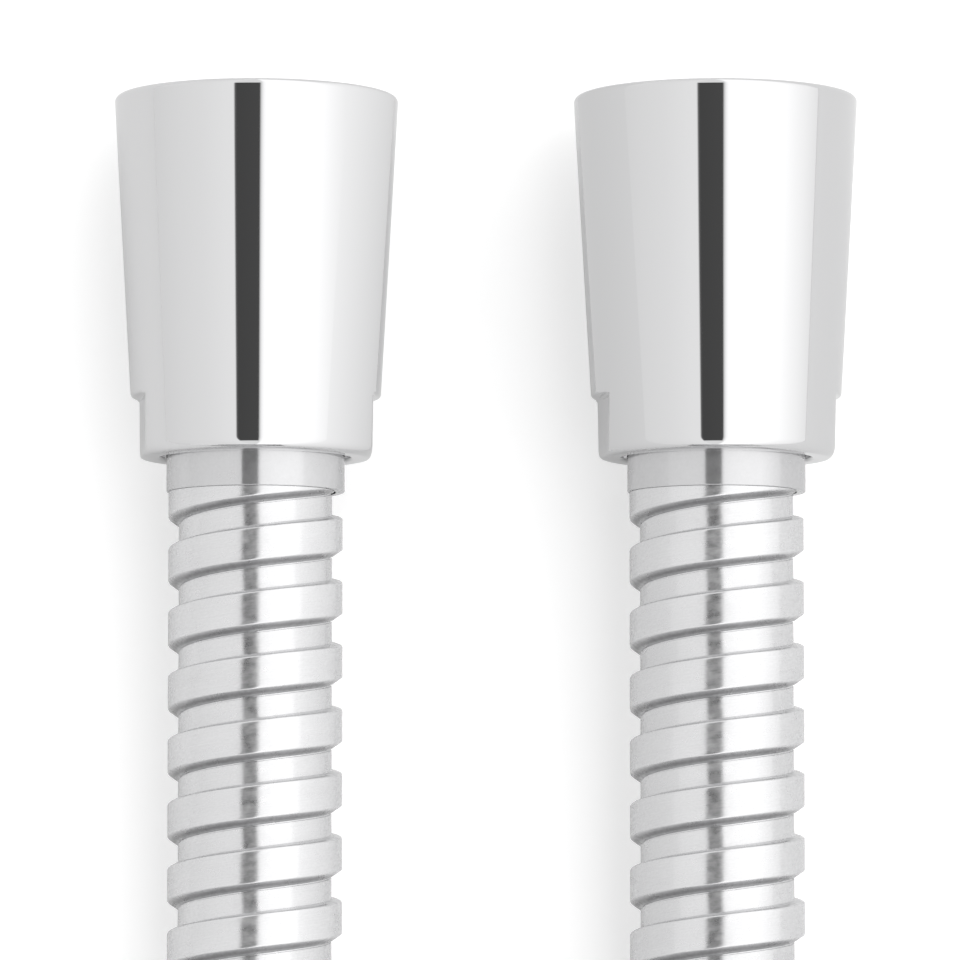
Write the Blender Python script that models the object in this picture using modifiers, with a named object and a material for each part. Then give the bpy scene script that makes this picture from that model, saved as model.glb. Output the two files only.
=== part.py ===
"""A 1.5 m shower hose with a conical swivel nut on each end, coiled and laid flat.

Metres, +Z up, floor at z = 0. The two ends lie side by side with their nuts'
mouths towards +Y; the hose runs back from them to a coil. The origin is under
the middle of the two end fittings.
"""
import math

import bpy
import numpy
from mathutils import Vector

# Clearance left between pieces that touch
GAP = 0.0003

# Cone nut: a turned shell, G1/2 thread inside the mouth, free to turn and slide
NUT_MOUTH_RADIUS = 0.01185
NUT_TAIL_RADIUS = 0.01015
NUT_LENGTH = 0.0304
MOUTH_EDGE = 0.0005
TAIL_EDGE = 0.0010
THREAD_BORE_RADIUS = 0.00935
MOUTH_CHAMFER = 0.0006
TAIL_CHAMFER = 0.0003

# Two flats milled on the nut's tail for a 19 mm spanner, and how far it lies turned
FLATS_WIDTH = 0.0190
FLATS_LENGTH = 0.0051
NUT_TURN = math.radians(6.0)

# Sealing washer: rubber, how far inside the mouth it lies, and its section
WASHER_DEPTH = 0.0100
WASHER_THICKNESS = 0.0020
WASHER_HOLE_RADIUS = 0.0055

# Hose tail: turned brass, a flange, a neck and a barbed shank with a bore
FLANGE_THICKNESS = 0.0020
NECK_RADIUS = 0.0046
SHANK_LENGTH = 0.0125
SHANK_RADIUS = 0.0042
BARB_HEIGHT = 0.0005
BARB_COUNT = 4
WATERWAY_RADIUS = 0.0032

# Slip ring: nylon, lets the nut turn on the flange
SLIP_RING_THICKNESS = 0.0010

# End ferrule: a drawn steel cup that clamps the hose on the shank
FERRULE_WALL = 0.00072
FERRULE_LENGTH = 0.0186
FERRULE_LIP = 0.0015
FERRULE_EDGE = 0.0003
FERRULE_TO_NUT = 0.00048

# Inner hose: the soft tube that carries the water inside the armour
INNER_HOSE_WALL = 0.0014

# Armoured hose
HOSE_DIAMETER = 0.0145
HOSE_RADIUS = HOSE_DIAMETER / 2
STRAND_PITCH = HOSE_DIAMETER + 0.0001

# Where the two ends lie
END_SPACING = 0.0384

# One hose run from its ferrule to the coil, as (x, y, z) with x out from the middle
RUN_POINTS = [
    (0.0192, -0.0170, 0.00996),
    (0.0192, -0.0262, 0.00945),
    (0.0192, -0.0362, 0.00889),
    (0.0192, -0.0462, 0.00833),
    (0.0192, -0.0572, 0.00774),
    (0.0196, -0.0695, 0.00735),
    (0.0218, -0.0817, 0.00725),
    (0.0264, -0.0930, 0.00725),
    (0.0332, -0.1033, 0.00725),
    (0.0419, -0.1121, 0.00725),
]
RUN_SPACING = 0.0100
RUN_FINE_SPACING = 0.0002

# Coil of the rest of the hose, three turns bundled in one round ring
COIL_CENTRE_Y = -0.1782
COIL_RADIUS = 0.0700
COIL_CORNER_STEPS = 3
COIL_STEPS = 64

ROUND_STEPS = 48
EDGE_STEPS = 3

# Depths below the mouth plane, along each end's axis
FLANGE_DEPTH = WASHER_DEPTH + WASHER_THICKNESS + GAP
NECK_DEPTH = FLANGE_DEPTH + FLANGE_THICKNESS
FERRULE_DEPTH = NECK_DEPTH + GAP
FERRULE_END = FERRULE_DEPTH + FERRULE_LENGTH
SHANK_DEPTH = FERRULE_DEPTH + FERRULE_LIP + GAP
SHOULDER_DEPTH = FERRULE_DEPTH + SLIP_RING_THICKNESS + GAP

# Radii that follow from the piece beside them
INNER_HOSE_BORE_RADIUS = SHANK_RADIUS + BARB_HEIGHT + GAP
INNER_HOSE_RADIUS = INNER_HOSE_BORE_RADIUS + INNER_HOSE_WALL
FERRULE_BORE_RADIUS = INNER_HOSE_RADIUS + GAP
FERRULE_NECK_RADIUS = NECK_RADIUS + GAP
FERRULE_RADIUS = FERRULE_BORE_RADIUS + FERRULE_WALL
NUT_TAIL_BORE_RADIUS = FERRULE_RADIUS + FERRULE_TO_NUT
SLIP_RING_BORE_RADIUS = FERRULE_RADIUS + GAP
SEAT_RADIUS = THREAD_BORE_RADIUS - GAP

# Each nut rests on its cone, so the end's axis tips up towards the mouth
TILT = math.atan((NUT_MOUTH_RADIUS - NUT_TAIL_RADIUS) / NUT_LENGTH)
MOUTH_Z = NUT_MOUTH_RADIUS * math.cos(TILT)
REACH_FRONT = (NUT_MOUTH_RADIUS - MOUTH_EDGE) * math.sin(TILT)
REACH_BACK = FERRULE_END * math.cos(TILT) + (FERRULE_RADIUS - FERRULE_EDGE) * math.sin(TILT)
MOUTH_Y = (REACH_BACK - REACH_FRONT) / 2


def clear_scene():
    for item in list(bpy.data.objects):
        bpy.data.objects.remove(item, do_unlink=True)


def make_material(name, colour, roughness, metallic):
    material = bpy.data.materials.new(name)
    material.use_nodes = True
    shader = material.node_tree.nodes["Principled BSDF"]
    shader.inputs["Base Color"].default_value = (*colour, 1.0)
    shader.inputs["Roughness"].default_value = roughness
    shader.inputs["Metallic"].default_value = metallic
    return material


def corner(radius, height, size, start, end, steps=EDGE_STEPS):
    """Points of a rounded corner about (radius, height), angles in degrees."""
    points = []
    for step in range(steps + 1):
        angle = math.radians(start + (end - start) * step / steps)
        points.append((radius + size * math.cos(angle), height + size * math.sin(angle)))
    return points


def turned(name, outline, material, collection, steps=ROUND_STEPS):
    """A solid of revolution: the outline runs down its outer side and back up its bore."""
    mesh = bpy.data.meshes.new(name)
    count = len(outline)
    edges = [(index, (index + 1) % count) for index in range(count)]
    mesh.from_pydata([(radius, 0.0, height) for radius, height in outline], edges, [])
    mesh.materials.append(material)
    piece = bpy.data.objects.new(name, mesh)
    collection.objects.link(piece)
    screw = piece.modifiers.new("Turn", "SCREW")
    screw.angle = math.tau
    screw.steps = steps
    screw.render_steps = steps
    screw.use_merge_vertices = True
    screw.merge_threshold = 0.00001
    screw.use_smooth_shade = True
    return piece


def nut_outline():
    slope = (NUT_MOUTH_RADIUS - NUT_TAIL_RADIUS) / NUT_LENGTH
    mouth_edge_radius = NUT_MOUTH_RADIUS - MOUTH_EDGE * slope
    tail_edge_radius = NUT_TAIL_RADIUS + TAIL_EDGE * slope
    outline = corner(mouth_edge_radius - MOUTH_EDGE, -MOUTH_EDGE, MOUTH_EDGE, 90, 0)
    outline += corner(tail_edge_radius - TAIL_EDGE, TAIL_EDGE - NUT_LENGTH, TAIL_EDGE, 0, -90)
    outline += [
        (NUT_TAIL_BORE_RADIUS + TAIL_CHAMFER, -NUT_LENGTH),
        (NUT_TAIL_BORE_RADIUS, TAIL_CHAMFER - NUT_LENGTH),
        (NUT_TAIL_BORE_RADIUS, -SHOULDER_DEPTH),
        (THREAD_BORE_RADIUS, -SHOULDER_DEPTH),
        (THREAD_BORE_RADIUS, -MOUTH_CHAMFER),
        (THREAD_BORE_RADIUS + MOUTH_CHAMFER, 0.0),
    ]
    return outline


def mill_flats(nut, cutters):
    """Cut the two spanner flats; each cutter runs out past the nut's tail and its widest edge."""
    depth = NUT_MOUTH_RADIUS - FLATS_WIDTH / 2
    length = FLATS_LENGTH + TAIL_EDGE
    for side_name, side in (("a", -1), ("b", 1)):
        bpy.ops.mesh.primitive_cube_add(size=1.0)
        cutter = bpy.context.object
        cutter.name = nut.name + "_flat_cutter_" + side_name
        bpy.context.collection.objects.unlink(cutter)
        cutters.objects.link(cutter)
        cutter.parent = nut
        cutter.location = (side * (FLATS_WIDTH + depth) / 2, 0.0, FLATS_LENGTH - NUT_LENGTH - length / 2)
        cutter.scale = (depth, 2 * NUT_MOUTH_RADIUS, length)
        cutter.hide_render = True
        cutter.display_type = "WIRE"
        milled = nut.modifiers.new("Spanner flat " + side_name, "BOOLEAN")
        milled.operation = "DIFFERENCE"
        milled.object = cutter


def washer_outline():
    bottom = -WASHER_DEPTH - WASHER_THICKNESS
    return [
        (SEAT_RADIUS, -WASHER_DEPTH),
        (SEAT_RADIUS, bottom),
        (WASHER_HOLE_RADIUS, bottom),
        (WASHER_HOLE_RADIUS, -WASHER_DEPTH),
    ]


def tail_outline():
    """Flange, neck, then barbs whose steep side faces the flange so the hose can't pull off."""
    outline = [
        (SEAT_RADIUS, -FLANGE_DEPTH),
        (SEAT_RADIUS, -NECK_DEPTH),
        (NECK_RADIUS, -NECK_DEPTH),
        (NECK_RADIUS, -SHANK_DEPTH),
    ]
    barb_length = SHANK_LENGTH / BARB_COUNT
    for barb in range(BARB_COUNT):
        height = -SHANK_DEPTH - barb * barb_length
        outline.append((SHANK_RADIUS, height - 0.2 * barb_length))
        outline.append((SHANK_RADIUS + BARB_HEIGHT, height - 0.4 * barb_length))
    outline.append((SHANK_RADIUS, -SHANK_DEPTH - SHANK_LENGTH))
    outline.append((WATERWAY_RADIUS, -SHANK_DEPTH - SHANK_LENGTH))
    outline.append((WATERWAY_RADIUS, -FLANGE_DEPTH))
    return outline


def slip_ring_outline():
    bottom = -FERRULE_DEPTH - SLIP_RING_THICKNESS
    return [
        (SEAT_RADIUS, -FERRULE_DEPTH),
        (SEAT_RADIUS, bottom),
        (SLIP_RING_BORE_RADIUS, bottom),
        (SLIP_RING_BORE_RADIUS, -FERRULE_DEPTH),
    ]


def ferrule_outline():
    return [
        (FERRULE_RADIUS - FERRULE_EDGE, -FERRULE_DEPTH),
        (FERRULE_RADIUS, -FERRULE_DEPTH - FERRULE_EDGE),
        (FERRULE_RADIUS, FERRULE_EDGE - FERRULE_END),
        (FERRULE_RADIUS - FERRULE_EDGE, -FERRULE_END),
        (FERRULE_BORE_RADIUS, -FERRULE_END),
        (FERRULE_BORE_RADIUS, -FERRULE_DEPTH - FERRULE_LIP),
        (FERRULE_NECK_RADIUS, -FERRULE_DEPTH - FERRULE_LIP),
        (FERRULE_NECK_RADIUS, -FERRULE_DEPTH),
    ]


def inner_hose_outline():
    bottom = GAP - FERRULE_END
    return [
        (INNER_HOSE_RADIUS, -SHANK_DEPTH),
        (INNER_HOSE_RADIUS, bottom),
        (INNER_HOSE_BORE_RADIUS, bottom),
        (INNER_HOSE_BORE_RADIUS, -SHANK_DEPTH),
    ]


def smooth_curve(points, spacing):
    """Even points on the natural cubic spline through the given points."""
    knots = numpy.array(points)
    spans = numpy.linalg.norm(numpy.diff(knots, axis=0), axis=1)
    along = numpy.concatenate(([0.0], numpy.cumsum(spans)))
    last = len(knots) - 1
    matrix = numpy.eye(last + 1)
    right = numpy.zeros((last + 1, 3))
    for row in range(1, last):
        before, after = spans[row - 1], spans[row]
        matrix[row, row - 1:row + 2] = (before, 2 * (before + after), after)
        right[row] = 6 * ((knots[row + 1] - knots[row]) / after - (knots[row] - knots[row - 1]) / before)
    bend = numpy.linalg.solve(matrix, right)
    curve = []
    for place in numpy.linspace(0.0, along[-1], round(along[-1] / spacing) + 1):
        row = min(int(numpy.searchsorted(along, place, side="right")) - 1, last - 1)
        span, ahead, behind = spans[row], along[row + 1] - place, place - along[row]
        point = (bend[row] * ahead ** 3 + bend[row + 1] * behind ** 3) / (6 * span)
        point += (knots[row] / span - bend[row] * span / 6) * ahead
        point += (knots[row + 1] / span - bend[row + 1] * span / 6) * behind
        curve.append(Vector(point))
    return curve


def coil_section():
    """Half width and height of the bundle of three strands, as they roll round each other."""
    return STRAND_PITCH / math.sqrt(3) + HOSE_RADIUS, STRAND_PITCH + HOSE_DIAMETER


def coil_outline():
    half_width, height = coil_section()
    outer = COIL_RADIUS + half_width - HOSE_RADIUS
    inner = COIL_RADIUS - half_width + HOSE_RADIUS
    top = height - HOSE_RADIUS
    outline = corner(outer, top, HOSE_RADIUS, 90, 0, COIL_CORNER_STEPS)
    outline += corner(outer, HOSE_RADIUS, HOSE_RADIUS, 0, -90, COIL_CORNER_STEPS)
    outline += corner(inner, HOSE_RADIUS, HOSE_RADIUS, -90, -180, COIL_CORNER_STEPS)
    outline += corner(inner, top, HOSE_RADIUS, 180, 90, COIL_CORNER_STEPS)
    return outline


def clear_of_coil(point, heading):
    """True where both corners of a tube's end face, seen from above, miss the coil."""
    centre = Vector((0.0, COIL_CENTRE_Y))
    across = HOSE_RADIUS * Vector((heading.y, -heading.x)).normalized()
    reach = min((point.xy + across - centre).length, (point.xy - across - centre).length)
    return reach > COIL_RADIUS + coil_section()[0] + GAP


def run_route(side):
    """Evenly spaced points from the ferrule up to the side of the coil."""
    fine = smooth_curve([(side * x, y, z) for x, y, z in RUN_POINTS], RUN_FINE_SPACING)
    end = 1
    while end + 1 < len(fine) and clear_of_coil(fine[end + 1], fine[end + 1] - fine[end]):
        end += 1
    count = round(end * RUN_FINE_SPACING / RUN_SPACING)
    return [fine[round(step * end / count)] for step in range(count + 1)]


def hose_run(name, side, material, collection):
    """The straight and bent stretch of hose between a ferrule and the coil."""
    route = run_route(side)
    curve = bpy.data.curves.new(name, "CURVE")
    curve.dimensions = "3D"
    curve.fill_mode = "FULL"
    curve.bevel_depth = HOSE_RADIUS
    curve.bevel_resolution = 4
    curve.use_fill_caps = True
    spline = curve.splines.new("POLY")
    spline.points.add(len(route) - 1)
    for point, place in zip(spline.points, route):
        point.co = (*place, 1.0)
    curve.materials.append(material)
    run = bpy.data.objects.new(name, curve)
    collection.objects.link(run)
    return run


def end_fitting(side_name, side, materials, collection, cutters):
    """Every piece of one end, turned about the end's own axis, its mouth at the empty."""
    end = bpy.data.objects.new(side_name + "_end_axis", None)
    collection.objects.link(end)
    end.location = (side * END_SPACING / 2, MOUTH_Y, MOUTH_Z)
    end.rotation_euler = (TILT - math.pi / 2, 0.0, 0.0)
    outlines = {
        "cone_nut": (nut_outline(), "chrome"),
        "sealing_washer": (washer_outline(), "rubber"),
        "hose_tail": (tail_outline(), "brass"),
        "slip_ring": (slip_ring_outline(), "nylon"),
        "end_ferrule": (ferrule_outline(), "chrome"),
        "inner_hose_end": (inner_hose_outline(), "tube"),
    }
    for piece_name, (outline, finish) in outlines.items():
        piece = turned(side_name + "_" + piece_name, outline, materials[finish], collection)
        piece.parent = end
        if piece_name == "cone_nut":
            piece.rotation_euler.z = NUT_TURN
            mill_flats(piece, cutters)


def build():
    clear_scene()
    collection = bpy.data.collections.new("shower_hose")
    bpy.context.scene.collection.children.link(collection)
    cutters = bpy.data.collections.new("cutters")
    bpy.context.scene.collection.children.link(cutters)
    materials = {
        "chrome": make_material("polished_chrome", (0.80, 0.80, 0.82), 0.06, 1.0),
        "armour": make_material("satin_armour", (0.74, 0.74, 0.75), 0.28, 1.0),
        "brass": make_material("turned_brass", (0.78, 0.60, 0.30), 0.25, 1.0),
        "rubber": make_material("black_rubber", (0.03, 0.03, 0.03), 0.70, 0.0),
        "nylon": make_material("white_nylon", (0.86, 0.86, 0.83), 0.45, 0.0),
        "tube": make_material("grey_inner_tube", (0.35, 0.36, 0.38), 0.50, 0.0),
    }
    for side_name, side in (("left", -1), ("right", 1)):
        end_fitting(side_name, side, materials, collection, cutters)
        hose_run(side_name + "_hose_run", side, materials["armour"], collection)
    coil = turned("coiled_hose", coil_outline(), materials["armour"], collection, COIL_STEPS)
    coil.location = (0.0, COIL_CENTRE_Y, 0.0)


build()
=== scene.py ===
"""A chrome shower hose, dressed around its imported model.

The hose lies on a pale floor with its two ends side by side and the rest of its
length in a coil behind them. The script follows the hose as it is put together.
"""
import math

import bmesh
import bpy
import numpy
from mathutils import Matrix, Vector


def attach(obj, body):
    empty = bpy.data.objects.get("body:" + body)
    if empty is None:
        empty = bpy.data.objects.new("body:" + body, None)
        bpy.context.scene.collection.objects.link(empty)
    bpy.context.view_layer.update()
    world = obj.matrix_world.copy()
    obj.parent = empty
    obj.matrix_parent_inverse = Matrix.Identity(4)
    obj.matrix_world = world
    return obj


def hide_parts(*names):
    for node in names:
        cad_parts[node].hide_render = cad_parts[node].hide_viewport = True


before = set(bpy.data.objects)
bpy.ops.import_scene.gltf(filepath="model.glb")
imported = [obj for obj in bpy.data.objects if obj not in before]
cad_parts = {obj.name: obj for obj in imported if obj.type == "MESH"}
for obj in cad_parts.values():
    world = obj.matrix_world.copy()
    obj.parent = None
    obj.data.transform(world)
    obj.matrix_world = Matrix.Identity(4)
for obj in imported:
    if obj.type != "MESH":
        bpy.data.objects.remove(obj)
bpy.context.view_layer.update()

# Where the two ends lie
# Each nut rests on the floor along its flank, so its axis rises towards the
# mouth by the cone's own slope. Depths are measured from the mouth along it.
NUT_MOUTH_RADIUS = 0.01185
NUT_TAIL_RADIUS = 0.01015
NUT_LENGTH = 0.0304
NUT_SLOPE = (NUT_MOUTH_RADIUS - NUT_TAIL_RADIUS) / NUT_LENGTH
NUT_TILT = math.atan(NUT_SLOPE)
MOUTH_Y = 0.0164560
MOUTH_Z = NUT_MOUTH_RADIUS * math.cos(NUT_TILT)
END_X = 0.0192
ENDS = (("left", -1), ("right", 1))
TOWARDS_MOUTH = Vector((0.0, math.cos(NUT_TILT), math.sin(NUT_TILT)))
SQUARE_UP = Vector((0.0, -math.sin(NUT_TILT), math.cos(NUT_TILT)))

# The camera
# It looks down on the two ends from a little behind their nuts, through a long
# lens, so that the nuts' mouths are at the top of the picture.
SENSOR_WIDTH = 36.0
PICTURE_WIDTH = 0.0800
CAMERA_DISTANCE = 0.6100
CAMERA_LEAN = math.radians(5.0)
CAMERA_ASIDE = -0.0005
PICTURE_DEPTH = 0.03216

camera_data = bpy.data.cameras.new("camera")
camera_data.sensor_width = SENSOR_WIDTH
camera_data.lens = SENSOR_WIDTH * CAMERA_DISTANCE / PICTURE_WIDTH
camera_data.clip_start = 0.01
camera = bpy.data.objects.new("camera", camera_data)
bpy.context.scene.collection.objects.link(camera)
picture_middle = Vector((CAMERA_ASIDE, MOUTH_Y, MOUTH_Z)) - PICTURE_DEPTH * TOWARDS_MOUTH
sight = math.cos(CAMERA_LEAN) * SQUARE_UP - math.sin(CAMERA_LEAN) * TOWARDS_MOUTH
camera.location = picture_middle + CAMERA_DISTANCE * sight
camera.rotation_euler = (-sight).to_track_quat("-Z", "Y").to_euler()
bpy.context.scene.camera = camera
bpy.context.scene.view_settings.view_transform = "Standard"


# The studio
# A pale table under two wide softboxes that leave a narrow dark gap overhead:
# polished metal shows that gap as one dark stripe along its top.
class Wire:
    """An output socket of a finish. Arithmetic on it adds Math nodes."""

    def __init__(self, finish, socket):
        self.finish = finish
        self.socket = socket

    def part(self, name):
        return Wire(self.finish, self.socket.node.outputs[name])

    def __add__(self, other):
        return self.finish.math("ADD", self, other)

    def __radd__(self, other):
        return self.finish.math("ADD", other, self)

    def __sub__(self, other):
        return self.finish.math("SUBTRACT", self, other)

    def __rsub__(self, other):
        return self.finish.math("SUBTRACT", other, self)

    def __mul__(self, other):
        return self.finish.math("MULTIPLY", self, other)

    def __rmul__(self, other):
        return self.finish.math("MULTIPLY", other, self)

    def __truediv__(self, other):
        return self.finish.math("DIVIDE", self, other)


BLUE_CAST = 1.01


class Finish:
    """The node tree of a material or of the studio's surroundings."""

    def __init__(self, owner):
        owner.use_nodes = True
        self.tree = owner.node_tree
        self.tree.nodes.clear()

    def node(self, kind, settings=None, inputs=None, output=0):
        node = self.tree.nodes.new(kind)
        for name, value in (settings or {}).items():
            if name == "stops":
                self.set_stops(node.color_ramp, value)
            else:
                setattr(node, name, value)
        for name, value in (inputs or {}).items():
            if isinstance(value, Wire):
                self.tree.links.new(value.socket, node.inputs[name])
            else:
                node.inputs[name].default_value = value
        return Wire(self, node.outputs[output] if len(node.outputs) else None)

    def math(self, operation, *values):
        return self.node("ShaderNodeMath", {"operation": operation}, dict(enumerate(values)))

    def set_stops(self, ramp, stops):
        ramp.elements.remove(ramp.elements[0])
        ramp.elements[0].position = stops[0][0]
        ramp.elements[0].color = (*[stops[0][1]] * 3, 1.0)
        for place, level in stops[1:]:
            ramp.elements.new(place).color = (*[level] * 3, 1.0)

    def between(self, value, low, high):
        """0 below low, 1 above high and smooth in the middle."""
        inputs = {"Value": value, "From Min": low, "From Max": high}
        return self.node("ShaderNodeMapRange", {"interpolation_type": "SMOOTHSTEP"}, inputs)

    def place(self, x, y):
        return self.node("ShaderNodeCombineXYZ", inputs={"X": x, "Y": y})

    def noise(self, place, scale, detail):
        inputs = {"Vector": place, "Scale": scale, "Detail": detail}
        return self.node("ShaderNodeTexNoise", inputs=inputs)

    def mixed(self, share, first, second):
        """A colour from first to second. The colour sockets of a Mix node go by number."""
        inputs = {"Factor": share, 6: (*first, 1.0), 7: (*second, 1.0)}
        return self.node("ShaderNodeMix", {"data_type": "RGBA"}, inputs, output=2)

    def bump(self, height, strength, distance):
        inputs = {"Strength": strength, "Distance": distance, "Height": height}
        return self.node("ShaderNodeBump", inputs=inputs)

    def grey(self, shade):
        """A grey with a slight cast of blue, as chrome plate has."""
        inputs = {"Red": shade, "Green": shade, "Blue": shade * BLUE_CAST}
        return self.node("ShaderNodeCombineColor", inputs=inputs)

    def show(self, shader, owner="Material"):
        self.node("ShaderNodeOutput" + owner, inputs={"Surface": shader})


# Brightness of the surroundings by the angle from straight up, + to the right
SKY_BY_ANGLE = [
    (-180.0, 0.80),
    (-100.0, 0.96),
    (-68.0, 1.05),
    (-45.0, 1.10),
    (-24.0, 1.17),
    (-16.4, 1.18),
    (-15.4, 0.085),
    (4.4, 0.095),
    (6.0, 1.25),
    (9.0, 1.60),
    (58.0, 1.60),
    (70.0, 1.46),
    (78.0, 1.38),
    (92.0, 1.20),
    (180.0, 0.85),
]
# A colour ramp's levels stay within 1, so they are divided by this and multiplied again after it
BRIGHTEST = 2.0
# Headings along Y between which the gap fades out, towards the mouths and towards the coil
GAP_MOUTH_END = (0.30, 0.42)
GAP_COIL_END = (0.62, 0.76)
GAP_END_LEVEL = 1.08

sky = bpy.data.worlds.new("studio")
bpy.context.scene.world = sky
studio = Finish(sky)
outward = studio.node("ShaderNodeTexCoord").part("Generated")
heading = studio.node("ShaderNodeSeparateXYZ", inputs={"Vector": outward})
turn = studio.math("ARCTAN2", heading.part("X"), heading.part("Z")) / math.tau + 0.5
sky_stops = [(0.5 + angle / 360.0, level / BRIGHTEST) for angle, level in SKY_BY_ANGLE]
level = studio.node("ShaderNodeValToRGB", {"stops": sky_stops}, {"Fac": turn})
past_mouths = studio.between(heading.part("Y"), *GAP_MOUTH_END)
past_coil = studio.between(0 - heading.part("Y"), *GAP_COIL_END)
past_gap = past_mouths + past_coil
level = studio.math("MAXIMUM", level, past_gap * GAP_END_LEVEL / BRIGHTEST)
background = studio.node("ShaderNodeBackground", inputs={"Color": level, "Strength": BRIGHTEST})
studio.show(background, "World")

# The table gives a little light of its own, most of it in the picture, so that it looks white
FLOOR_SIZE = 6.0
FLOOR_TONE = 0.77
FLOOR_LIFT = 0.04
FLOOR_LIFT_IN_PICTURE = 0.30
bpy.ops.mesh.primitive_plane_add(size=FLOOR_SIZE)
floor = bpy.context.object
floor.name = "floor"
floor_material = bpy.data.materials.new("pale_table")
pale = Finish(floor_material)
lit = pale.node("ShaderNodeBsdfDiffuse", inputs={"Color": (*[FLOOR_TONE] * 3, 1.0)})
ray = pale.node("ShaderNodeLightPath")
lift_strength = FLOOR_LIFT + FLOOR_LIFT_IN_PICTURE * ray.part("Is Camera Ray")
lift = pale.node("ShaderNodeEmission", inputs={"Strength": lift_strength})
shown = pale.node("ShaderNodeAddShader", inputs={0: lit, 1: lift})
mirrored = pale.math("MAXIMUM", ray.part("Is Glossy Ray"), ray.part("Is Transmission Ray"))
seen = pale.math("MAXIMUM", ray.part("Is Camera Ray"), mirrored)
surface = pale.node("ShaderNodeMixShader", inputs={0: seen, 1: lit, 2: shown})
pale.show(surface)
floor.data.materials.append(floor_material)


# The board between the ends
# A board between the ends that gives off light of its own, brighter towards the top
# and at a level for each face, so that neither end is mirrored in the other.
# Only metal shows it: the board is out of the picture and of the light.
BOARD_FRONT = 0.0400
BOARD_BACK = -0.0850
BOARD_HEIGHT = 0.0225
BOARD_THICKNESS = 0.0010
BOARD_OUTLINE = (
    (BOARD_BACK, 0.0),
    (BOARD_FRONT, 0.0),
    (BOARD_FRONT, BOARD_HEIGHT),
    (BOARD_BACK, BOARD_HEIGHT),
)
# The side of each face, and its brightness at the foot and at the top
BOARD_LEVELS = {"board_left_face": (-1, 0.90, 1.36), "board_right_face": (1, 0.82, 0.98)}
for face_name, (side, low, high) in BOARD_LEVELS.items():
    corners = [(side * BOARD_THICKNESS / 2, y, z) for y, z in BOARD_OUTLINE]
    face_mesh = bpy.data.meshes.new(face_name)
    face_mesh.from_pydata(corners, [], [(0, 1, 2, 3)])
    face_material = bpy.data.materials.new(face_name)
    paper = Finish(face_material)
    on_board = paper.node("ShaderNodeTexCoord").part("Object")
    height = paper.node("ShaderNodeSeparateXYZ", inputs={"Vector": on_board}).part("Z") / BOARD_HEIGHT
    glow = paper.node("ShaderNodeEmission", inputs={"Strength": low + (high - low) * height})
    paper.show(glow)
    face_mesh.materials.append(face_material)
    board_face = bpy.data.objects.new(face_name, face_mesh)
    board_face.visible_camera = False
    board_face.visible_diffuse = False
    board_face.visible_shadow = False
    board_face.visible_transmission = False
    bpy.context.scene.collection.objects.link(board_face)

# The light of the right-hand softbox, which throws the soft shadow on the table. The metal
# doesn't mirror the lamp, only the surroundings.
LAMP_PLACE = (0.45, -0.05, 0.75)
LAMP_SIZE = 0.60
LAMP_WATTS = 1.0
lamp_data = bpy.data.lights.new("softbox", "AREA")
lamp_data.size = LAMP_SIZE
lamp_data.energy = LAMP_WATTS
lamp = bpy.data.objects.new("softbox", lamp_data)
lamp.location = LAMP_PLACE
lamp.rotation_euler = lamp.location.to_track_quat("Z", "Y").to_euler()
lamp.visible_glossy = False
bpy.context.scene.collection.objects.link(lamp)


# The armoured hose
# One metal strip folded and wound into a right-handed spiral whose turns lock
# into each other, over the inner hose. It is satin along the strip, and the
# fold in each turn is dark from its own shape and from shade painted into its colour.
HOSE_DIAMETER = 0.0145
RUN_POINTS = [
    (0.0192, -0.0170, 0.00996),
    (0.0192, -0.0262, 0.00945),
    (0.0192, -0.0362, 0.00889),
    (0.0192, -0.0462, 0.00833),
    (0.0192, -0.0572, 0.00774),
    (0.0196, -0.0695, 0.00735),
    (0.0218, -0.0817, 0.00725),
    (0.0264, -0.0930, 0.00725),
    (0.0332, -0.1033, 0.00725),
    (0.0419, -0.1121, 0.00725),
]
COIL_CENTRE_Y = -0.1782
COIL_RADIUS = 0.0700
COIL_JOIN = 131.4
COIL_LEAVE = 1128.6
COIL_POINTS = 67
STRAND_GAP = 0.0001
STRAND_OFFSET = (HOSE_DIAMETER + STRAND_GAP) / math.sqrt(3)
ROLL_START = 170.0
ROLL_END = 370.0
FIRST_ROLL = -30.0
ROLL_A_TURN = 120.0


def coil_place(angle):
    """Centre of the hose in the coil, where each turn rolls a third round the other two."""
    turns = math.floor((angle - ROLL_START) / 360.0)
    share = (angle - ROLL_START - 360.0 * turns) / (ROLL_END - ROLL_START)
    eased = 0.5 - 0.5 * math.cos(math.pi * min(share, 1.0))
    roll = math.radians(FIRST_ROLL - ROLL_A_TURN * (turns + eased))
    lift = math.sin(math.radians(ROLL_A_TURN * eased - FIRST_ROLL))
    radius = COIL_RADIUS + STRAND_OFFSET * math.cos(roll)
    height = HOSE_DIAMETER / 2 + STRAND_OFFSET * (lift + math.sin(roll))
    around = math.radians(angle)
    return (radius * math.cos(around), COIL_CENTRE_Y + radius * math.sin(around), height)


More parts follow.
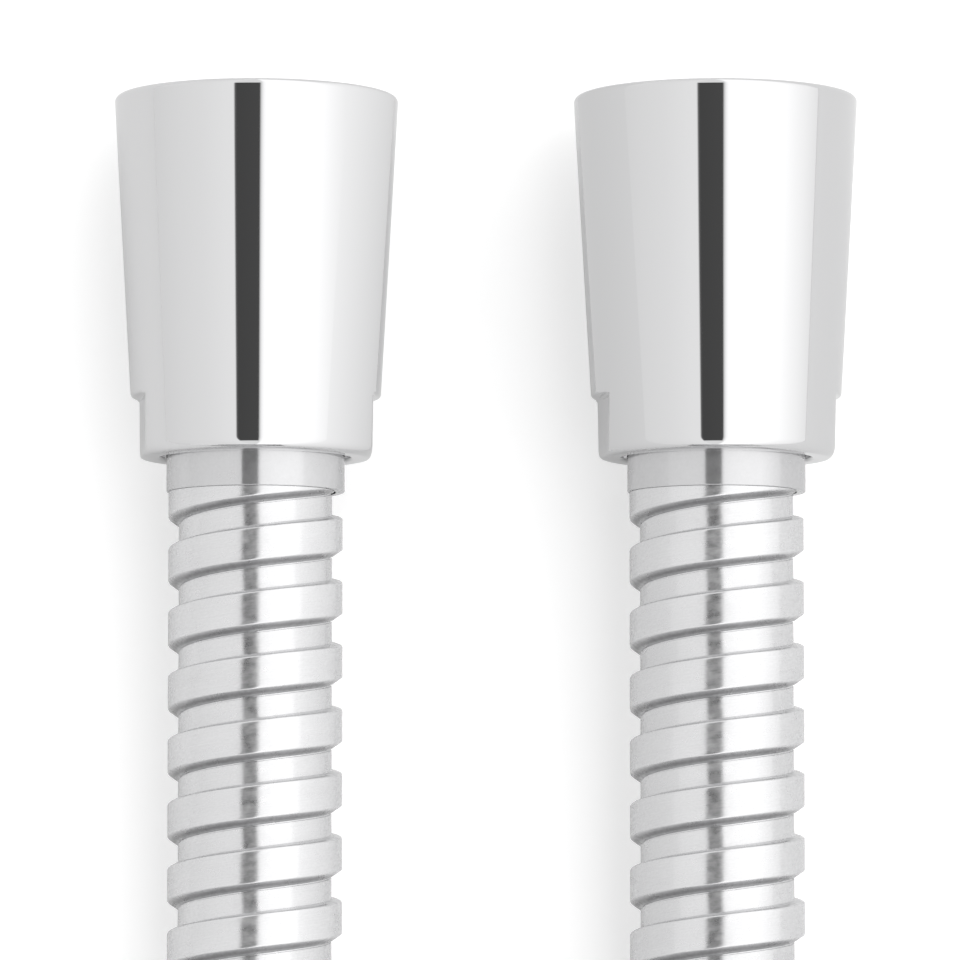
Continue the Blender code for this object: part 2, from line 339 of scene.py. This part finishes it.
def smooth_curve(points, spacing):
    """Even points on the natural cubic spline through the given points."""
    knots = numpy.array(points)
    spans = numpy.linalg.norm(numpy.diff(knots, axis=0), axis=1)
    along = numpy.concatenate(([0.0], numpy.cumsum(spans)))
    last = len(knots) - 1
    matrix = numpy.eye(last + 1)
    right = numpy.zeros((last + 1, 3))
    for row in range(1, last):
        before, after = spans[row - 1], spans[row]
        matrix[row, row - 1:row + 2] = (before, 2 * (before + after), after)
        right[row] = 6 * ((knots[row + 1] - knots[row]) / after - (knots[row] - knots[row - 1]) / before)
    bend = numpy.linalg.solve(matrix, right)
    places = numpy.linspace(0.0, along[-1], round(along[-1] / spacing) + 1)
    row = numpy.clip(numpy.searchsorted(along, places, side="right") - 1, 0, last - 1)
    span = spans[row][:, None]
    ahead = (along[row + 1] - places)[:, None]
    behind = (places - along[row])[:, None]
    curve = (bend[row] * ahead ** 3 + bend[row + 1] * behind ** 3) / (6 * span)
    curve += (knots[row] / span - bend[row] * span / 6) * ahead
    return curve + (knots[row + 1] / span - bend[row + 1] * span / 6) * behind


left_run = [(-x, y, z) for x, y, z in RUN_POINTS]
coil_step = (COIL_LEAVE - COIL_JOIN) / (COIL_POINTS - 1)
coil_turns = [coil_place(COIL_JOIN + coil_step * number) for number in range(COIL_POINTS)]
CENTRELINE_STEP = 0.00025
centreline = smooth_curve(left_run + coil_turns + RUN_POINTS[::-1], CENTRELINE_STEP)
steps = numpy.linalg.norm(numpy.diff(centreline, axis=0), axis=1)
hose_length = float(steps.sum())

# Section of one turn of the strip, mm along the hose and mm from its middle
STRIP_PITCH = 5.32
STRIP_SECTION = [
    (0.00, 7.25),
    (0.16, 7.25),
    (2.36, 7.25),
    (2.50, 7.25),
    (2.57, 7.23),
    (2.63, 7.17),
    (2.69, 7.08),
    (2.84, 6.86),
    (3.10, 6.48),
    (3.17, 6.28),
    (3.25, 6.28),
    (3.29, 6.37),
    (4.97, 6.38),
    (5.03, 6.60),
    (5.07, 6.82),
    (5.12, 7.00),
    (5.19, 7.14),
    (5.25, 7.22),
]
# Beyond the fine turns the strip keeps only these points of its section
PLAIN_COLUMNS = [0, 3, 6, 11, 12, 16]
CREST_COLUMNS = 4
CREST_WIDTH = STRIP_SECTION[CREST_COLUMNS - 1][0]
# The middle of the valley in that section, and where the first valley crosses the top of
# the hose, in mm from the hose's start
VALLEY_MIDDLE = 4.00
FIRST_VALLEY = 1.95
SIDES = 44
FINE_TURNS = 12
# Halfway along, the section turns over, so that both ends show their strip the same way
TURNOVER_TURNS = 8
SPARE_TURNS = 2
SPARE_REACH = 0.030


def wound_strip():
    """Vertices, faces and strip coordinates of the armour, two turns too long at each end."""
    section = numpy.array(STRIP_SECTION)
    flipped = section[::-1].copy()
    flipped[:, 0] = CREST_WIDTH - flipped[:, 0]
    flipped = numpy.roll(flipped, CREST_COLUMNS, axis=0)
    role = section[:, 0]
    flipped_role = CREST_WIDTH - flipped[:, 0]
    flipped_role[CREST_COLUMNS:] = flipped_role[CREST_COLUMNS:] - STRIP_PITCH
    flipped[CREST_COLUMNS:, 0] += STRIP_PITCH

    start = FIRST_VALLEY - VALLEY_MIDDLE
    end_phase = 2 * FIRST_VALLEY + CREST_WIDTH - VALLEY_MIDDLE + STRIP_PITCH - VALLEY_MIDDLE
    turns_between = round((hose_length * 1000 - end_phase) / STRIP_PITCH)
    pitch = (hose_length * 1000 - end_phase) / turns_between
    turns = turns_between + 2 * SPARE_TURNS + 1
    count = turns * SIDES
    columns = len(section)

    number = numpy.arange(count + SIDES + 1)
    turn_number = number / SIDES - SPARE_TURNS
    middle = turns_between / 2
    share = numpy.clip((turn_number - middle) / TURNOVER_TURNS + 0.5, 0.0, 1.0)[:, None]
    place = (1 - share) * section[None, :, 0] + share * flipped[None, :, 0]
    radius = (1 - share) * section[None, :, 1] + share * flipped[None, :, 1]
    roles = (1 - share) * role + share * flipped_role
    along = (start + pitch * turn_number[:, None] + place * pitch / STRIP_PITCH) / 1000
    angle = (math.tau * number / SIDES)[:, None]

    ends = [centreline[0] - centreline[1], centreline[-1] - centreline[-2]]
    ends = [SPARE_REACH * end / numpy.linalg.norm(end) for end in ends]
    line = numpy.vstack((centreline[0] + ends[0], centreline, centreline[-1] + ends[1]))
    spare = hose_length + SPARE_REACH
    distance = numpy.concatenate(([-SPARE_REACH, 0.0], numpy.cumsum(steps), [spare]))
    slope = numpy.gradient(line, distance, axis=0)
    middle_of = numpy.stack([numpy.interp(along, distance, line[:, axis]) for axis in range(3)], axis=-1)
    ahead = numpy.stack([numpy.interp(along, distance, slope[:, axis]) for axis in range(3)], axis=-1)
    ahead /= numpy.linalg.norm(ahead, axis=-1, keepdims=True)
    up = numpy.array((0.0, 0.0, 1.0)) - ahead * ahead[..., 2:3]
    up /= numpy.linalg.norm(up, axis=-1, keepdims=True)
    aside = numpy.cross(ahead, up)
    out = numpy.cos(angle)[..., None] * up + numpy.sin(angle)[..., None] * aside
    places = middle_of + out * radius[..., None] / 1000

    fine_until = (FINE_TURNS + SPARE_TURNS) * SIDES
    fine_from = count - fine_until

    def held_columns(row):
        fine = row <= fine_until or row >= fine_from
        return list(range(columns)) if fine else PLAIN_COLUMNS

    faces = []
    strip_places = []
    for row in range(count):
        own, following = held_columns(row), held_columns(row + 1)
        shared = own if len(own) <= len(following) else following
        for first, last in zip(shared, shared[1:] + [columns]):
            face = [(row, column) for column in own if first <= column < last]
            face.append((row + SIDES, 0) if last == columns else (row, last))
            face.append((row + 1 + SIDES, 0) if last == columns else (row + 1, last))
            face += [(row + 1, column) for column in reversed(following) if first <= column < last]
            faces.append([line_row * columns + column for line_row, column in face])
            for line_row, column in face:
                wrapped = line_row > row + 1
                across = roles[line_row, column]
                if wrapped:
                    across += STRIP_PITCH * (1 - 2 * share[line_row, 0])
                lap = (line_row - SIDES if wrapped else line_row) / SIDES
                strip_places.append((lap, across / STRIP_PITCH))
    return places.reshape(-1, 3), faces, strip_places


def keep_used(vertices, faces):
    """Drop the vertices that no face uses."""
    used = numpy.unique(numpy.concatenate([numpy.array(face) for face in faces]))
    new_number = numpy.full(len(vertices), -1)
    new_number[used] = numpy.arange(len(used))
    return vertices[used], [[int(new_number[corner]) for corner in face] for face in faces]


strip_vertices, strip_faces, strip_places = wound_strip()
strip_vertices, strip_faces = keep_used(strip_vertices, strip_faces)
armour_mesh = bpy.data.meshes.new("hose_armour")
armour_mesh.from_pydata(strip_vertices.tolist(), [], strip_faces)
strip_map = armour_mesh.uv_layers.new(name="strip")
strip_map.data.foreach_set("uv", numpy.array(strip_places, dtype=numpy.float32).ravel())

# The armour is cut off square at the ferrules' ends and closed there
FERRULE_END = 0.0332
ARMOUR_GAP = 0.00002
ARMOUR_SHARP_ANGLE = 50.0
shell = bmesh.new()
shell.from_mesh(armour_mesh)
cut_at = Vector((0.0, MOUTH_Y, MOUTH_Z)) - (FERRULE_END + ARMOUR_GAP) * TOWARDS_MOUTH
everything = shell.verts[:] + shell.edges[:] + shell.faces[:]
bmesh.ops.bisect_plane(
    shell, geom=everything, dist=1e-7, plane_co=cut_at, plane_no=TOWARDS_MOUTH, clear_outer=True
)
rims = [edge for edge in shell.edges if edge.is_boundary]
bmesh.ops.holes_fill(shell, edges=rims, sides=0)
bmesh.ops.recalc_face_normals(shell, faces=shell.faces[:])
shell.to_mesh(armour_mesh)
shell.free()
armour_mesh.shade_smooth()
armour_mesh.set_sharp_from_angle(angle=math.radians(ARMOUR_SHARP_ANGLE))


def hazy_metal(finish, tint, relief, clear, dull, haze):
    """Brushed metal: a clear reflection and a dull one over it, haze being the dull one's share."""
    sheens = [
        finish.node("ShaderNodeBsdfPrincipled", inputs={
            "Base Color": tint,
            "Metallic": 1.0,
            "Roughness": roughness,
            "Normal": relief,
        })
        for roughness in (clear, dull)
    ]
    return finish.node("ShaderNodeMixShader", inputs={0: haze, 1: sheens[0], 2: sheens[1]})


# Shares of a turn of the strip over which the painted shade in the fold comes and goes; the fold's shape
# shades it as well
FOLD_PAINTED_SHADE_RISE = (0.480, 0.550)
FOLD_PAINTED_SHADE_FALL = (0.555, 0.600)
FOLD_PAINTED_SHADE_DEPTH = 0.50
SATIN_TONE = 0.58
FINE_RELIEF = 0.00005

armour_material = bpy.data.materials.new("satin_armour")
satin = Finish(armour_material)
strip = satin.node("ShaderNodeUVMap", {"uv_map": "strip"})
strip_axes = satin.node("ShaderNodeSeparateXYZ", inputs={"Vector": strip})
lap, across = strip_axes.part("X"), strip_axes.part("Y")
phase = satin.math("FRACT", across)
brush = satin.node("ShaderNodeTexNoise", inputs={
    "Vector": satin.place(lap * 6.0, phase * 70.0),
    "Scale": 1.0,
    "Detail": 4.0,
    "Roughness": 0.65,
})
patch = satin.noise(satin.place(lap * 3.0, across * 1.5), 1.0, 2.0)
mottle = satin.noise(satin.place(lap * 34.0, across * 7.0), 1.0, 3.0)
fold_painted_shade = satin.between(phase, *FOLD_PAINTED_SHADE_RISE) * (1 - satin.between(phase, *FOLD_PAINTED_SHADE_FALL))
shade = SATIN_TONE + 0.07 * brush + 0.06 * patch + 0.04 * mottle
# Painted shade: the fold is made up to half darker in colour, on top of the shade that its shape gives
shade = shade * (1 - FOLD_PAINTED_SHADE_DEPTH * fold_painted_shade)
tint = satin.grey(shade)
relief = satin.bump(brush, 0.08, FINE_RELIEF)
clear_sheen = 0.09 + 0.08 * brush
dull_sheen = 0.42 + 0.10 * brush
haze = 0.20 * brush + 0.95 * mottle - 0.20
satin.show(hazy_metal(satin, tint, relief, clear_sheen, dull_sheen, haze))
armour_mesh.materials.append(armour_material)

armour = bpy.data.objects.new("hose_armour", armour_mesh)
bpy.context.scene.collection.objects.link(armour)
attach(armour, "root")
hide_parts("left_hose_run", "right_hose_run", "coiled_hose")


# The cone nuts
# Turned from brass bar and plated with bright chrome: a slim cone to turn by
# hand, two flats at the tail for a spanner, and a G1/2 thread inside the mouth.
# Each is loose on its hose end, so it turns freely and slides along the hose.
def rounded(radius, depth, size, start, end, count=8):
    """Points of a rounded edge about (radius, depth); angles run from outwards towards the mouth."""
    points = []
    for step in range(count + 1):
        angle = math.radians(start + (end - start) * step / count)
        points.append((radius + size * math.cos(angle), depth - size * math.sin(angle)))
    return points


TURNED_SHARP_ANGLE = 35.0


def turned(name, side, body, node, outline, material, angles=range(0, 360, 3), cut=None):
    """A closed ring turned about one end's axis; cut gives the radius where it is machined."""
    middle = Vector((side * END_X, MOUTH_Y, MOUTH_Z))
    seat = Matrix.Translation(middle) @ Matrix.Rotation(NUT_TILT - math.pi / 2, 4, "X")
    vertices = []
    for radius, depth in outline:
        for angle in map(math.radians, angles):
            reach = cut(radius, depth, angle) if cut else radius
            vertices.append(seat @ Vector((reach * math.cos(angle), reach * math.sin(angle), -depth)))
    faces = []
    rows = len(outline)
    sides = len(angles)
    for row in range(rows):
        for number in range(sides):
            beside = (number + 1) % sides
            here = row * sides
            below = (row + 1) % rows * sides
            faces.append((here + number, below + number, below + beside, here + beside))
    mesh = bpy.data.meshes.new(name)
    mesh.from_pydata(vertices, [], faces)
    mesh.materials.append(material)
    mesh.shade_smooth()
    mesh.set_sharp_from_angle(angle=math.radians(TURNED_SHARP_ANGLE))
    piece = bpy.data.objects.new(name, mesh)
    bpy.context.scene.collection.objects.link(piece)
    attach(piece, body)
    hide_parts(node)
    return piece


NUT_MOUTH_EDGE = 0.0005
NUT_MOUTH_CHAMFER = 0.0006
NUT_TAIL_EDGE = 0.0010
NUT_TAIL_BORE = 0.0079
NUT_BORE_EDGE = 0.0003
SHOULDER_DEPTH = 0.0159
FLATS_HALF_WIDTH = 0.0095
FLATS_START = 0.0253
FLATS_TURN = 6.0
FLATS_EDGE = 0.00012
FLATS_ROWS = (0.0265, 0.0280)
FLATS_LEAST_COSINE = 0.2
FLATS_EDGE_ANGLE = 17.0
FINE_ANGLE_STEP = 0.5
FINE_ANGLE_STEPS = 20
NUT_SIDES = 144
STEP_EDGE = 0.00030
STEP_FILLET = 0.00018
THREAD_MINOR = 0.00932
THREAD_MAJOR = 0.01048
THREAD_PITCH = 0.001814
THREAD_START = 0.0007
THREAD_STOP = 0.0098
THREAD_CREST = 0.15
THREAD_ROWS_A_TURN = 16
TOLERANCE = 0.00001


def thread_cut(radius, depth, angle):
    """Radius of the bore, with the rounded right-handed thread cut into it."""
    lap = (depth / THREAD_PITCH + angle / math.tau) % 1.0
    flank = abs(2.0 * lap - 1.0)
    form = min(max((flank - THREAD_CREST) / (1.0 - 2.0 * THREAD_CREST), 0.0), 1.0)
    fade = min((depth - THREAD_START) / THREAD_PITCH, (THREAD_STOP - depth) / THREAD_PITCH, 1.0)
    return radius + fade * form * (THREAD_MAJOR - THREAD_MINOR)


def flat_cut(radius, depth, angle):
    """Radius of the nut's tail, with the two spanner flats milled into it."""
    past = depth - FLATS_START
    if past < 0.0:
        rounding = max(past + STEP_EDGE, 0.0)
        step_drop = STEP_EDGE - math.sqrt(STEP_EDGE ** 2 - rounding ** 2)
    else:
        step_drop = radius
    fillet = max(STEP_FILLET - past, 0.0)
    fillet_lift = STEP_FILLET - math.sqrt(max(STEP_FILLET ** 2 - fillet ** 2, 0.0))
    away = max(abs(math.cos(angle - math.radians(FLATS_TURN))), FLATS_LEAST_COSINE)
    flat = FLATS_HALF_WIDTH / away + fillet_lift
    gap = radius - flat
    milled = (radius + flat - math.sqrt(gap ** 2 + FLATS_EDGE ** 2)) / 2
    return max(milled, radius - step_drop) if flat < radius + 4 * FLATS_EDGE else radius


def nut_machining(radius, depth, angle):
    """Radius of the nut, with the flats cut outside and the thread inside."""
    if radius > THREAD_MINOR + TOLERANCE:
        return flat_cut(radius, depth, angle) if depth > FLATS_START - STEP_EDGE else radius
    if THREAD_START < depth < THREAD_STOP:
        return thread_cut(radius, depth, angle)
    return radius


def nut_outline():
    """The nut's outside from its mouth to its tail, then its inside back to the mouth."""
    outline = rounded(NUT_MOUTH_RADIUS - NUT_MOUTH_EDGE, NUT_MOUTH_EDGE, NUT_MOUTH_EDGE, 90.0, 0.0)
    step_depths = [FLATS_START - STEP_EDGE * (1 - step / 6) for step in range(6)]
    # Two rings a hair apart make the upright face of the step
    step_depths += [FLATS_START - 1e-6, FLATS_START + 1e-7]
    step_depths += [FLATS_START + STEP_FILLET * step / 4 for step in range(1, 5)]
    for depth in (*step_depths, *FLATS_ROWS):
        outline.append((NUT_MOUTH_RADIUS - NUT_SLOPE * depth, depth))
    edge_radius = NUT_TAIL_RADIUS + NUT_SLOPE * NUT_TAIL_EDGE - NUT_TAIL_EDGE
    outline += rounded(edge_radius, NUT_LENGTH - NUT_TAIL_EDGE, NUT_TAIL_EDGE, 0.0, -90.0, 12)
    bore_radius = NUT_TAIL_BORE + NUT_BORE_EDGE
    outline += rounded(bore_radius, NUT_LENGTH - NUT_BORE_EDGE, NUT_BORE_EDGE, -90.0, -180.0, 4)
    outline += [(NUT_TAIL_BORE, SHOULDER_DEPTH), (THREAD_MINOR, SHOULDER_DEPTH)]
    rows = round((THREAD_STOP - THREAD_START) / THREAD_PITCH * THREAD_ROWS_A_TURN)
    for row in range(rows):
        outline.append((THREAD_MINOR, THREAD_STOP - (THREAD_STOP - THREAD_START) * row / rows))
    outline += [(THREAD_MINOR, THREAD_START), (THREAD_MINOR + NUT_MOUTH_CHAMFER, 0.0)]
    return outline


def nut_angles():
    """Even steps, with finer ones where the edges of the flats run."""
    angles = {360.0 / NUT_SIDES * step for step in range(NUT_SIDES)}
    for middle in (FLATS_TURN, FLATS_TURN + 180.0):
        for step in range(FINE_ANGLE_STEPS):
            aside = FLATS_EDGE_ANGLE + FINE_ANGLE_STEP * step
            angles |= {(middle - aside) % 360.0, middle + aside}
    return sorted(angles)


chrome_material = bpy.data.materials.new("bright_chrome")
chrome = Finish(chrome_material)
on_nut = chrome.node("ShaderNodeTexCoord").part("Object")
smears = chrome.noise(on_nut, 160.0, 3.0)
chrome_shader = chrome.node("ShaderNodeBsdfPrincipled", inputs={
    "Base Color": (0.63, 0.63, 0.635, 1.0),
    "Metallic": 1.0,
    "Roughness": 0.015 + 0.035 * smears,
})
chrome.show(chrome_shader)

for side_name, side in ENDS:
    name = side_name + "_cone_nut"
    nut = turned(
        name + "_turned", side, side_name + "_nut", name, nut_outline(), chrome_material,
        angles=nut_angles(), cut=nut_machining,
    )


# The end ferrules
# A drawn steel cup pressed over the end of the hose. Only its last three
# millimetres show below the nut, with a softer shine than the nut has.
FERRULE_RADIUS = 0.00742
FERRULE_BORE = 0.0067
FERRULE_NECK = 0.0049
FERRULE_START = 0.0146
FERRULE_FLOOR = 0.0161
FERRULE_ROUND = 0.0003
FERRULE_EDGE = 0.00010


def ferrule_outline():
    """The cup's outside, then its inside down to the hole that holds the tail's neck."""
    lip, edge = FERRULE_ROUND, FERRULE_EDGE
    outline = rounded(FERRULE_RADIUS - lip, FERRULE_START + lip, lip, 90.0, 0.0, 4)
    outline += rounded(FERRULE_RADIUS - edge, FERRULE_END - edge, edge, 0.0, -90.0, 4)
    outline += [(FERRULE_BORE, FERRULE_END), (FERRULE_BORE, FERRULE_FLOOR)]
    outline += [(FERRULE_NECK, FERRULE_FLOOR), (FERRULE_NECK, FERRULE_START)]
    return outline


ferrule_material = bpy.data.materials.new("drawn_chrome")
drawn = Finish(ferrule_material)
on_ferrule = drawn.node("ShaderNodeTexCoord").part("Object")
grain = drawn.noise(on_ferrule, 900.0, 3.0)
drawn_tint = drawn.grey(0.55 + 0.04 * grain)
drawn_relief = drawn.bump(grain, 0.05, FINE_RELIEF)
drawn_haze = 0.18 + 0.26 * grain
drawn.show(hazy_metal(drawn, drawn_tint, drawn_relief, 0.08 + 0.06 * grain, 0.45, drawn_haze))
for side_name, side in ENDS:
    name = side_name + "_end_ferrule"
    ferrule = turned(name + "_drawn", side, "root", name, ferrule_outline(), ferrule_material)


# The hose tails
# Turned brass: a flange that the nut pulls against the washer, a neck that the
# ferrule's lip closes on, and a barbed shank that the inner hose is pushed over.
SEAT_RADIUS = 0.00905
FLANGE_START = 0.0123
FLANGE_END = 0.0143
FLANGE_EDGE = 0.00025
NECK_RADIUS = 0.0046
SHANK_RADIUS = 0.0042
SHANK_START = 0.0164
SHANK_END = 0.0289
BARB_RADIUS = 0.0047
BARBS = 4
BARB_FOOT = 0.2
BARB_TOP = 0.4
WATERWAY_RADIUS = 0.0032
WATERWAY_CHAMFER = 0.0003


def tail_outline():
    """The flange, the neck and the barbed shank, then the waterway back to the flange."""
    edge = FLANGE_EDGE
    outline = rounded(SEAT_RADIUS - edge, FLANGE_START + edge, edge, 90.0, 0.0, 4)
    outline += [(SEAT_RADIUS, FLANGE_END), (NECK_RADIUS, FLANGE_END), (NECK_RADIUS, SHANK_START)]
    barb = (SHANK_END - SHANK_START) / BARBS
    for number in range(BARBS):
        outline.append((SHANK_RADIUS, SHANK_START + (number + BARB_FOOT) * barb))
        outline.append((BARB_RADIUS, SHANK_START + (number + BARB_TOP) * barb))
    outline += [(SHANK_RADIUS, SHANK_END), (WATERWAY_RADIUS, SHANK_END)]
    outline.append((WATERWAY_RADIUS, FLANGE_START + WATERWAY_CHAMFER))
    outline.append((WATERWAY_RADIUS + WATERWAY_CHAMFER, FLANGE_START))
    return outline


brass_material = bpy.data.materials.new("turned_brass")
brass = Finish(brass_material)
on_tail = brass.node("ShaderNodeTexCoord").part("Object")
tool_marks = brass.noise(on_tail, 700.0, 4.0)
tarnish = brass.noise(on_tail, 220.0, 2.0)
brass_shader = brass.node("ShaderNodeBsdfPrincipled", inputs={
    "Base Color": brass.mixed(tarnish, (0.80, 0.62, 0.32), (0.66, 0.48, 0.22)),
    "Metallic": 1.0,
    "Roughness": 0.20 + 0.15 * tool_marks,
    "Normal": brass.bump(tool_marks, 0.2, FINE_RELIEF),
})
brass.show(brass_shader)
for side_name, side in ENDS:
    name = side_name + "_hose_tail"
    tail = turned(name + "_turned", side, "root", name, tail_outline(), brass_material)


# The sealing washers
# A flat black rubber ring on the tail's flange, which seals on the end of the
# pipe that the nut is screwed to.
WASHER_HOLE = 0.0055
WASHER_START = 0.0100
WASHER_END = 0.0120
WASHER_EDGE = 0.0003


def ring_outline(bore, start, end, edge, count):
    """A flat ring as wide as the seat, with its four edges rounded."""
    outline = rounded(SEAT_RADIUS - edge, start + edge, edge, 90.0, 0.0, count)
    outline += rounded(SEAT_RADIUS - edge, end - edge, edge, 0.0, -90.0, count)
    outline += rounded(bore + edge, end - edge, edge, -90.0, -180.0, count)
    outline += rounded(bore + edge, start + edge, edge, 180.0, 90.0, count)
    return outline


washer_outline = ring_outline(WASHER_HOLE, WASHER_START, WASHER_END, WASHER_EDGE, 4)
rubber_material = bpy.data.materials.new("black_rubber")
rubber = Finish(rubber_material)
on_washer = rubber.node("ShaderNodeTexCoord").part("Object")
speck = rubber.noise(on_washer, 2500.0, 3.0)
dust = rubber.between(speck, 0.45, 0.75)
rubber_shader = rubber.node("ShaderNodeBsdfPrincipled", inputs={
    "Base Color": rubber.mixed(dust, (0.020, 0.020, 0.021), (0.045, 0.045, 0.046)),
    "Roughness": 0.55 + 0.20 * speck,
    "Normal": rubber.bump(speck, 0.3, 0.00004),
})
rubber.show(rubber_shader)
for side_name, side in ENDS:
    name = side_name + "_sealing_washer"
    washer = turned(name + "_moulded", side, "root", name, washer_outline, rubber_material)


# The slip rings
# A thin nylon ring behind the flange, for the nut's shoulder to turn against.
SLIP_RING_BORE = 0.00772
SLIP_RING_START = 0.0146
SLIP_RING_END = 0.0156
SLIP_RING_EDGE = 0.00015

slip_ring_outline = ring_outline(SLIP_RING_BORE, SLIP_RING_START, SLIP_RING_END, SLIP_RING_EDGE, 3)
nylon_material = bpy.data.materials.new("white_nylon")
nylon = Finish(nylon_material)
on_ring = nylon.node("ShaderNodeTexCoord").part("Object")
cloud = nylon.noise(on_ring, 400.0, 3.0)
nylon_shader = nylon.node("ShaderNodeBsdfPrincipled", inputs={
    "Base Color": nylon.mixed(cloud, (0.82, 0.82, 0.79), (0.88, 0.88, 0.86)),
    "Roughness": 0.38 + 0.12 * cloud,
})
nylon.show(nylon_shader)
for side_name, side in ENDS:
    name = side_name + "_slip_ring"
    ring = turned(name + "_moulded", side, name, name, slip_ring_outline, nylon_material)


# The inner hose's ends
# A soft grey tube runs the whole length inside the armour. Only its two ends,
# clamped on the barbs, are solids of the model, and they keep their shape.
tube_material = bpy.data.materials.new("grey_inner_tube")
tube = Finish(tube_material)
on_tube = tube.node("ShaderNodeTexCoord").part("Object")
bloom = tube.noise(on_tube, 350.0, 3.0)
tube_shader = tube.node("ShaderNodeBsdfPrincipled", inputs={
    "Base Color": tube.mixed(bloom, (0.30, 0.31, 0.33), (0.38, 0.39, 0.41)),
    "Roughness": 0.42 + 0.15 * bloom,
})
tube.show(tube_shader)
for side_name, side in ENDS:
    inner_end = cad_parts[side_name + "_inner_hose_end"]
    inner_end.data.materials.clear()
    inner_end.data.materials.append(tube_material)
